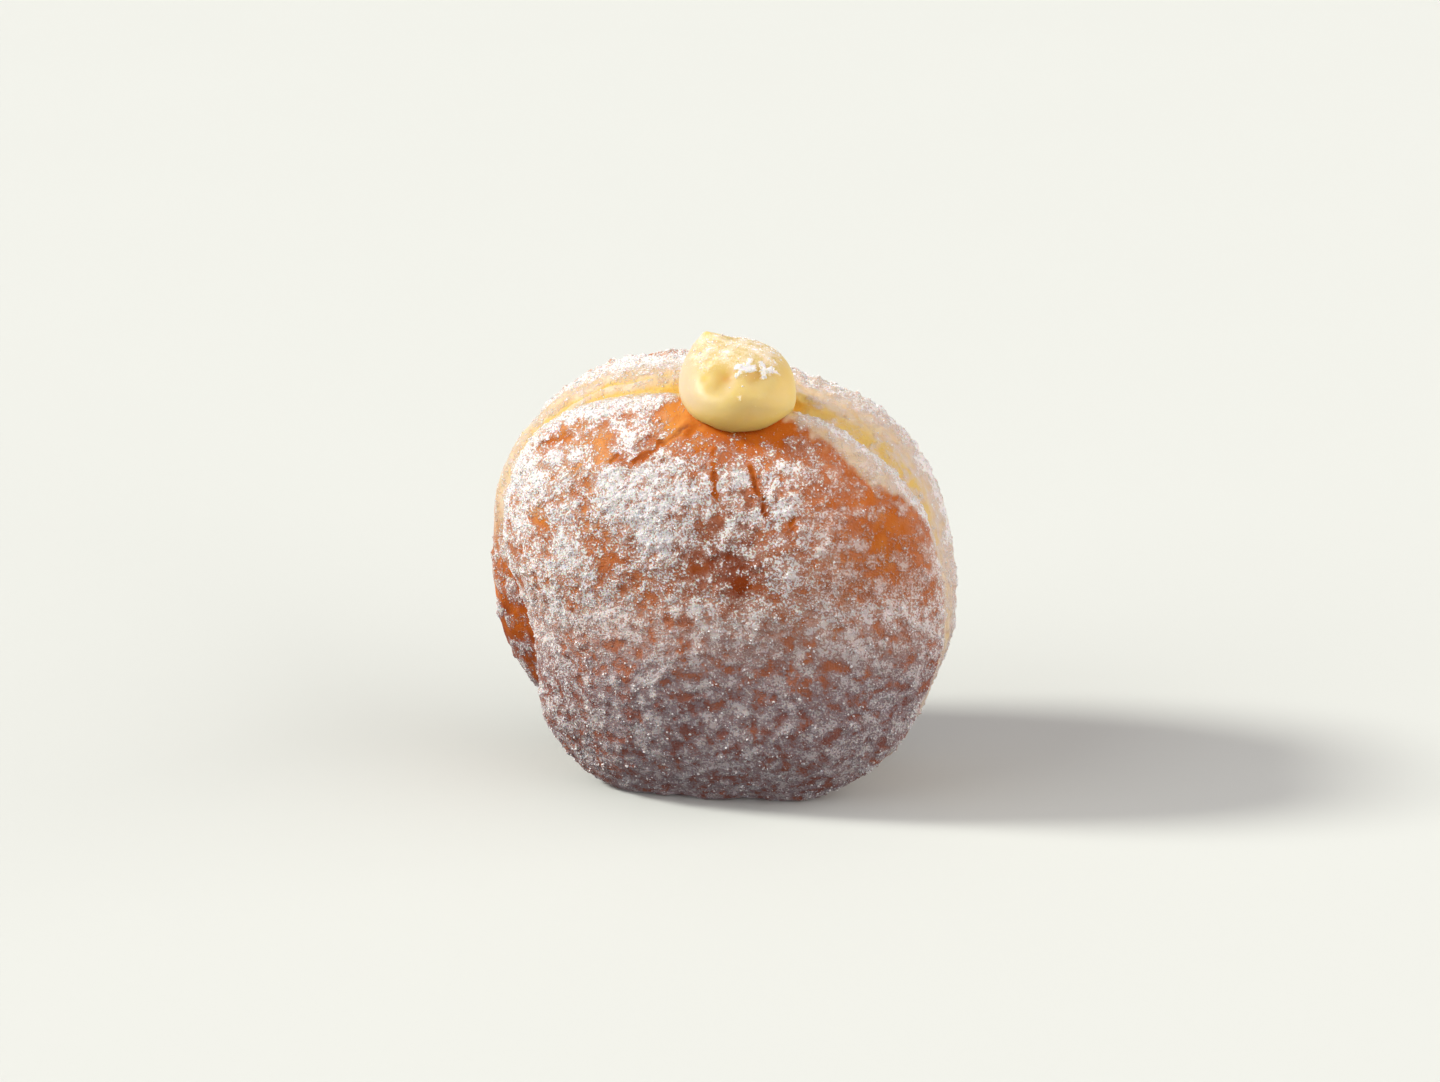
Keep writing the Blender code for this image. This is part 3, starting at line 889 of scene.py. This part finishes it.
def softness(skin):
    """How far the sugar has sunk into the moist dough, from 0 to 1."""
    right_band = plateau(skin.angle, *MOIST_STRETCH) * fall(-skin.y, 15, 19)
    low = 0.55 * fall(skin.height, *LOW_FACE) * ease(skin.x, -26, -14) * ease(-skin.y, 14, 18)
    return np.maximum((0.72 - 0.27 * ease(-skin.y, 9, 13)) * right_band, low)


def thinness(skin):
    """How far the white sugar thins out at the right and at the bottom of the front face; at the bottom it
    is painted shade.
    """
    right = 0.6 * ease(skin.x, 14, 30) * ease(skin.height, 38, 50)
    # The thinning at the bottom is painted shade
    return np.maximum(right, 0.2 * fall(skin.height, 36, 48)) * ease(-skin.y, 13, 17)


def fallen_sugar(skin):
    """Amount of sugar that fell on the dough, and how far it is missing from the bare places."""
    angle, y = skin.angle, skin.y
    front = ease(-y, *FACE_BLEND)
    back = ease(y, *FACE_BLEND)
    broad = rough_noise(skin.points, **BROAD_SUGAR)
    band = around(BAND_POWDER, angle)
    band -= STRIP_DEPTH * bell(angle - STRIP_ANGLE, STRIP_SPAN) * bell(y - STRIP_SITE, STRIP_WIDTH)
    face = FRONT_POWDER + PATCH_STRENGTH * skin.patches(POWDER_PATCHES)
    behind = BACK_POWDER + 0.35 * broad
    powder = band + (face - band) * front + (behind - band) * back

    # The front rim's line of sugar widens into a ridge at the right, and the back rim's into a drift
    site = -RIM_SITE - RIDGE_PAST_RIM + RIDGE_SHIFT * plateau(angle, *RIDGE_STRETCH)
    width = RIDGE_WIDTH + RIDGE_WIDENING * plateau(angle, *BROAD_STRETCH)
    rims = around(FRONT_RIM_POWDER, angle) * bell(y - site, width)
    drift = bell(angle - DRIFT_ANGLE, DRIFT_SPAN)
    site = RIM_SITE + BACK_RIDGE_PAST_RIM - DRIFT_SHIFT * drift
    width = BACK_RIDGE_WIDTH + DRIFT_WIDENING * drift
    rims += around(BACK_RIM_POWDER, angle) * bell(y - site, width)
    powder += RIM_POWDER_STRENGTH * rims

    streaky = streaks_on(skin) * front * ease(skin.height, 40, 60)
    powder += (0.1 + 0.2 * fall(skin.height, 40, 50)) * broad
    powder += rough_noise(skin.points, **PATCHY_SUGAR)
    powder += rough_noise(skin.points, **LUMPY_SUGAR)
    powder += (0.2 + 0.3 * ease(-skin.x, 2, 20)) * streaky
    return powder, PATCH_STRENGTH * skin.patches(BARE_PATCHES) * front


def sugar_on(skin, wrinkles, creases, folds):
    """Amount of sugar left on the dough. There is less in hollows, and least on the bare places."""
    powder, bare = fallen_sugar(skin)
    under_ridge = bell(skin.past_edge - 0.8, 0.9) * plateau(skin.angle, *SHADED_STRETCH) * skin.front
    powder += 0.7 * skin.fibres * skin.in_band * bell(skin.angle - FIBROUS_ANGLE, FIBROUS_SPAN)
    powder -= 0.5 * skin.beside_custard + 0.4 * wrinkles + 0.4 * folds + 0.6 * under_ridge
    powder -= 0.1 * fall(skin.height, 38, 46)
    veil = skin.crust * ease(-skin.y, 12, 16) * (0.92 + 0.18 * fall(skin.height, *LOW_FACE))
    powder = held(powder, LEAST_POWDER + veil, MOST_POWDER)
    return powder - bare * (1 + 0.4 * skin.kinks) - 2.0 * creases


def relief_on(skin, powder, soft):
    """Height of the dough's uneven skin and of the sugar caked on it."""
    loose = (0.3 - 0.18 * ease(powder, 0.7, 1.2)) * skin.lumps + rough_noise(skin.points, **CRUMBS)
    cake = ease(powder + 0.5 * skin.lumps, 0.3, 1.0) * (0.15 + loose * (1 - 0.5 * soft))
    relief = cake + rough_noise(skin.points, **SWELLS)
    relief += (0.05 + 0.3 * soft * skin.in_band) * skin.lumps + 0.1 * skin.fibres * skin.in_band
    return relief + 0.45 * skin.lumps * bell(skin.y - RIM_SITE - 1, 4) * ease(skin.height, 55, 70)


def toast_and_painted_light_on(skin):
    """How dark the crust is fried, from about 0 for golden to 1 for dark, with painted shade at the bottom
    and painted light at the upper left.
    """
    # The last term, darker crust at the bottom, is painted shade
    toast = 0.55 + 0.25 * skin.wander + 0.35 * fall(skin.height, 22, 34)
    # Painted light: the crust is lighter at the upper left, where the key light falls
    toast -= 0.4 * ease(-skin.x, 6, 26) * ease(skin.height, 44, 64)
    return toast + skin.patches(TOAST_PATCHES)


def yellow_on(skin, folds):
    """How deep the yellow of the band is, most in its groove and beside the custard, and in its folds, where
    it is painted shade.
    """
    width = 3.2 + 1.2 * ease(skin.angle, 10, 30)
    groove = bell(skin.y - around(DEEP_SITE, skin.angle) + 1.2 * skin.wander, width)
    # The folds' share of the yellow is painted shade
    return around(BAND_DEPTH, skin.angle) * groove + 0.9 * folds + 0.7 * skin.beside_custard


def grains_on(skin, powder, soft, thin):
    """How thickly loose grains lie, with more on the back rim at the upper right."""
    bed = (ease(powder + 0.6 * skin.lumps, 0.3, 1.3) + 0.008) * (1 - 0.93 * soft) * (1 - 0.7 * thin)
    on_rim = bell(skin.y - RIM_SITE, CRUMB_WIDTH) * bell(skin.angle - CRUMB_ANGLE, CRUMB_SPAN)
    bed += 0.5 * on_rim * ease(skin.lumps, -0.2, 0.5)
    return bed * ease(skin.height, 0.5, 3)


def flakes_on(skin):
    """How thickly loose flakes lie on the back rim at the upper right."""
    return 0.2 * bell(skin.y - RIM_SITE - 0.5, FLAKE_WIDTH) * bell(skin.angle - FLAKE_ANGLE, FLAKE_SPAN)


def make_dough():
    """Fine dough with its creases, wrinkles, folds, spongy band and the cake of sugar on it."""
    piece = fine_skin("dough", "dough_skin", DOUGH_CELL, DOUGH_SMOOTHING)
    points, outward = own_points(piece)
    skin = DoughSkin(points)
    wrinkles = wrinkles_on(skin)
    creases, crease_depths = creases_on(skin)
    folds = folds_on(skin)
    powder = sugar_on(skin, wrinkles, creases, folds)
    soft = softness(skin)
    thin = thinness(skin)
    hollows = WRINKLE_DEPTH * wrinkles + crease_depths + FOLD_DEPTH * folds
    relief = relief_on(skin, powder, soft) - hollows
    set_points(piece, points + outward * relief[:, None])
    set_marks(piece, {
        "crust": skin.crust,
        "toast": toast_and_painted_light_on(skin),
        "deep": yellow_on(skin, folds),
        "powder": powder,
        "crease": creases,
        "thick": 1 - thin,
        "soft": soft,
        "grains": grains_on(skin, powder, soft, thin),
        "flakes": flakes_on(skin),
    })
    piece.data.shade_smooth()
    piece.data.materials.append(dough_finish())
    return piece


def custard_flakes(points):
    """Where flakes of sugar lie on the custard, with jagged edges, and one small painted highlight."""
    jagged = rough_noise(points, **FLAKE_EDGE)
    flakes = np.zeros(len(points))
    for start, end, half_width in CUSTARD_FLAKES:
        reach = half_width * (1 + jagged)
        flakes = np.maximum(flakes, ease(reach - distance_to_rod(points, start, end), -0.15, 0.2))
    return flakes


def custard_relief(points):
    """Height of the custard's skin over the solid, with its tip and pits."""
    relief = CUSTARD_SWELL + rough_noise(points, **CUSTARD_SWIRL) + rough_noise(points, **CUSTARD_GRAIN)
    relief += CUSTARD_TIP_SIZE * bell(distance_to_point(points, CUSTARD_TIP), CUSTARD_TIP_SIZE)
    for middle, depth, reach in CUSTARD_PITS:
        relief -= depth * bell(distance_to_point(points, middle), reach)
    return relief


def make_custard():
    """Fine custard with its tip, pits and dusting of sugar, resting on the dough."""
    piece = fine_skin("custard", "custard_cream", CUSTARD_CELL, CUSTARD_SMOOTHING)
    points, outward = own_points(piece)
    height = points[:, 2]
    right, up = outward[:, 0], outward[:, 2]
    patchy = rough_noise(points, **CUSTARD_DUST)
    dust = ease(up, 0.4, 0.9) * ease(height, 84, 86.5) * (0.7 + patchy)
    flakes = custard_flakes(points)
    # Painted shade: deeper yellow low on the custard and in its dimples
    deep = 0.25 * fall(up, -0.8, 0.1) * fall(height, 76, 82)
    for middle, reach in CUSTARD_DIMPLE_SHADES:
        deep = np.maximum(deep, 0.4 * bell(distance_to_point(points, middle), reach))
    # Painted light under the custard, and on its right side below
    under = fall(up, -0.6, 0.35) * fall(height, 79, 85)
    relief = custard_relief(points) + CUSTARD_FLAKE_HEIGHT * flakes
    set_points(piece, points + outward * relief[:, None])
    set_marks(piece, {
        # The flakes, the painted highlight among them, are white
        "dust": dust * (1 - flakes) + 1.5 * flakes,
        "deep": deep,
        # Painted sheen on the side facing the key light
        "pale": ease(-right, 0.0, 0.9),
        "under": np.maximum(under, 0.5 * ease(right, 0.3, 1.0)),
        "grains": 0.35 * ease(dust, 0.35, 0.9) + 0.3 * flakes + 0.01 * ease(up, 0, 1),
        "flakes": 0.4 * ease(flakes, 0.5, 1.0),
    })
    piece.data.shade_smooth()
    piece.data.materials.append(custard_finish())
    return piece


def random_vector(board, low, high, seed):
    """Random vector for each grain, each part of it between a low and a high end."""
    values = {0: (low,) * 3, 1: (high,) * 3, "Seed": seed}
    return board.add("FunctionNodeRandomValue", {"data_type": "FLOAT_VECTOR"}, values).out()


def grain_tree(name, shape, shape_values):
    """Tree that strews grains of one shape over the marked places of a bed."""
    tree = bpy.data.node_groups.new(name, "GeometryNodeTree")
    sockets = {
        "Bed": "NodeSocketGeometry", "Mark": "NodeSocketString", "Per Square Metre": "NodeSocketFloat",
        "Smallest": "NodeSocketFloat", "Largest": "NodeSocketFloat", "Squash": "NodeSocketFloat",
        "Crumple": "NodeSocketFloat", "Seed": "NodeSocketInt", "Finish": "NodeSocketMaterial",
    }
    for label, kind in sockets.items():
        tree.interface.new_socket(name=label, in_out="INPUT", socket_type=kind)
    tree.interface.new_socket(name="Grains", in_out="OUTPUT", socket_type="NodeSocketGeometry")
    board = Board(tree)
    given = board.add("NodeGroupInput")
    seed = given.out("Seed")

    amount = board.add(
        "GeometryNodeInputNamedAttribute", {"data_type": "FLOAT"}, {"Name": given.out("Mark")},
    ).out()
    strewn = board.add(
        "GeometryNodeDistributePointsOnFaces", {"distribute_method": "RANDOM"},
        {"Mesh": given.out("Bed"), "Density": amount * given.out("Per Square Metre"), "Seed": seed},
    )

    # Most grains are small, as the share is squared
    turn = random_vector(board, 0.0, 2 * math.pi, seed)
    share = board.add(
        "FunctionNodeRandomValue", {"data_type": "FLOAT"}, {2: 0.0, 3: 1.0, "Seed": seed + 1},
    ).out(1)
    size = given.out("Smallest") + (given.out("Largest") - given.out("Smallest")) * share * share
    sides = random_vector(board, SLIMMEST_GRAIN, 1.0, seed + 2)
    flat = board.add("ShaderNodeCombineXYZ", {}, {0: 1.0, 1: 1.0, 2: given.out("Squash")}).out()
    sides = board.vector_maths("MULTIPLY", {0: sides, 1: flat})
    sides = board.vector_maths("SCALE", {0: sides, "Scale": size})
    one = board.add(shape, {}, shape_values).out("Mesh")
    placed = board.add(
        "GeometryNodeInstanceOnPoints", {},
        {"Points": strewn.out("Points"), "Instance": one, "Rotation": turn, "Scale": sides},
    ).out()
    real = board.add("GeometryNodeRealizeInstances", {}, {"Geometry": placed}).out()

    here = board.add("GeometryNodeInputPosition").out()
    shift = board.add("ShaderNodeTexWhiteNoise", {"noise_dimensions": "3D"}, {"Vector": here}).out("Color")
    shift = board.vector_maths("SUBTRACT", {0: shift, 1: (0.5, 0.5, 0.5)})
    shift = board.vector_maths("SCALE", {0: shift, "Scale": given.out("Crumple")})
    uneven = board.add("GeometryNodeSetPosition", {}, {"Geometry": real, "Offset": shift}).out()
    coated = {"Geometry": uneven, "Material": given.out("Finish")}
    finished = board.add("GeometryNodeSetMaterial", {}, coated).out()
    board.add("NodeGroupOutput", {}, {"Grains": finished})
    return tree


def strew(name, tree, bed, values):
    """Plain mesh of grains from a tree, its inputs given by label."""
    draft = link(name + "_draft", bed)
    change = draft.modifiers.new("grains", "NODES")
    change.node_group = tree
    sockets = {item.name: item.identifier for item in tree.interface.items_tree if item.in_out == "INPUT"}
    for label, value in values.items():
        change[sockets[label]] = value
    piece = plain_copy(draft, name)
    for attribute in list(piece.data.attributes):
        if attribute.name in MARKS:
            piece.data.attributes.remove(attribute)
    return piece


def joined_bed(pieces):
    """One mesh of several pieces, with their marks, for the grains to lie on."""
    made = bmesh.new()
    for piece in pieces:
        made.from_mesh(piece.data)
    bed = bpy.data.meshes.new("sugar_bed")
    made.to_mesh(bed)
    made.free()
    return bed


def make_sugar(bed):
    """Every kind of sugar grain, one piece for each kind."""
    less = 1.0
    pieces = []
    for name, kind in SUGAR_KINDS.items():
        values = {
            "Mark": kind["mark"],
            "Per Square Metre": kind["per_square_metre"] * less,
            "Smallest": kind["smallest"] * MM,
            "Largest": kind["largest"] * MM,
            "Squash": kind["squash"],
            "Crumple": kind["crumple"] * MM,
            "Seed": kind["seed"],
            "Finish": sugar_finish(name, kind["colours"], kind["rough"], kind["blot"]),
        }
        tree = grain_tree(name, kind["shape"], kind["shape_values"])
        pieces.append(strew(name, tree, bed, values))
    return pieces


def make_table():
    """Round table top, just below the doughnut's resting spot."""
    made = bmesh.new()
    bmesh.ops.create_circle(made, cap_ends=True, segments=TABLE_SEGMENTS, radius=TABLE_RADIUS_M)
    mesh = bpy.data.meshes.new("table")
    made.to_mesh(mesh)
    made.free()
    mesh.transform(Matrix.Translation((0, 0, -TABLE_DROP * MM)))
    mesh.materials.append(table_finish())
    table = link("table", mesh)
    table.visible_diffuse = False


def make_light():
    """Key light from the upper left, broad soft light from the right and the front, and a pale sky."""
    for name, (from_side, strength, colour, spread) in LAMPS.items():
        light = bpy.data.lights.new(name, "SUN")
        light.energy = strength
        light.color = colour
        light.angle = math.radians(spread)
        lamp = bpy.data.objects.new(name, light)
        lamp.rotation_euler = Vector(from_side).to_track_quat("Z", "Y").to_euler()
        scene.collection.objects.link(lamp)
    scene.world = bpy.data.worlds.new("studio")
    scene.world.use_nodes = True
    scene.world.node_tree.nodes.clear()
    board = Board(scene.world.node_tree)
    rise = board.rise(board.add("ShaderNodeTexCoord").out("Generated"))
    colour = board.blend(board.ease(rise, -0.25, 0.2), GROUND_COLOUR, SKY_COLOUR)
    sky = board.add("ShaderNodeBackground", {}, {"Color": colour, "Strength": 1.0}).out()
    board.add("ShaderNodeOutputWorld", {}, {"Surface": sky})
    scene.view_settings.view_transform = "Standard"


def make_camera():
    """Camera a little above the doughnut and to its right."""
    azimuth = math.radians(AZIMUTH)
    rise = math.radians(ELEVATION)
    back = Vector((math.sin(azimuth) * math.cos(rise), -math.cos(azimuth) * math.cos(rise), math.sin(rise)))
    right = Vector((math.cos(azimuth), math.sin(azimuth), 0))
    up = back.cross(right)
    pixel = MM_PER_PIXEL * MM
    width, height = IMAGE
    aim = right * ((width / 2 - GROUND_PIXEL[0]) * pixel) + up * ((GROUND_PIXEL[1] - height / 2) * pixel)
    aim += Vector((*OWN_MIDDLE, 0)) * MM
    lens = bpy.data.cameras.new("camera")
    lens.sensor_width = SENSOR_WIDTH
    lens.lens = DISTANCE_M / pixel * SENSOR_WIDTH / width
    camera = bpy.data.objects.new("camera", lens)
    camera.location = aim + back * DISTANCE_M
    camera.rotation_euler = back.to_track_quat("Z", "Y").to_euler()
    scene.collection.objects.link(camera)
    scene.camera = camera


make_camera()
make_light()
make_table()
dough = make_dough()
custard = make_custard()
sugar = make_sugar(joined_bed((dough, custard)))

for piece in (dough, custard, *sugar):
    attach(piece, "root")
    print(piece.name, sum(len(face.vertices) - 2 for face in piece.data.polygons), "triangles")
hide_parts("dough")
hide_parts("custard")
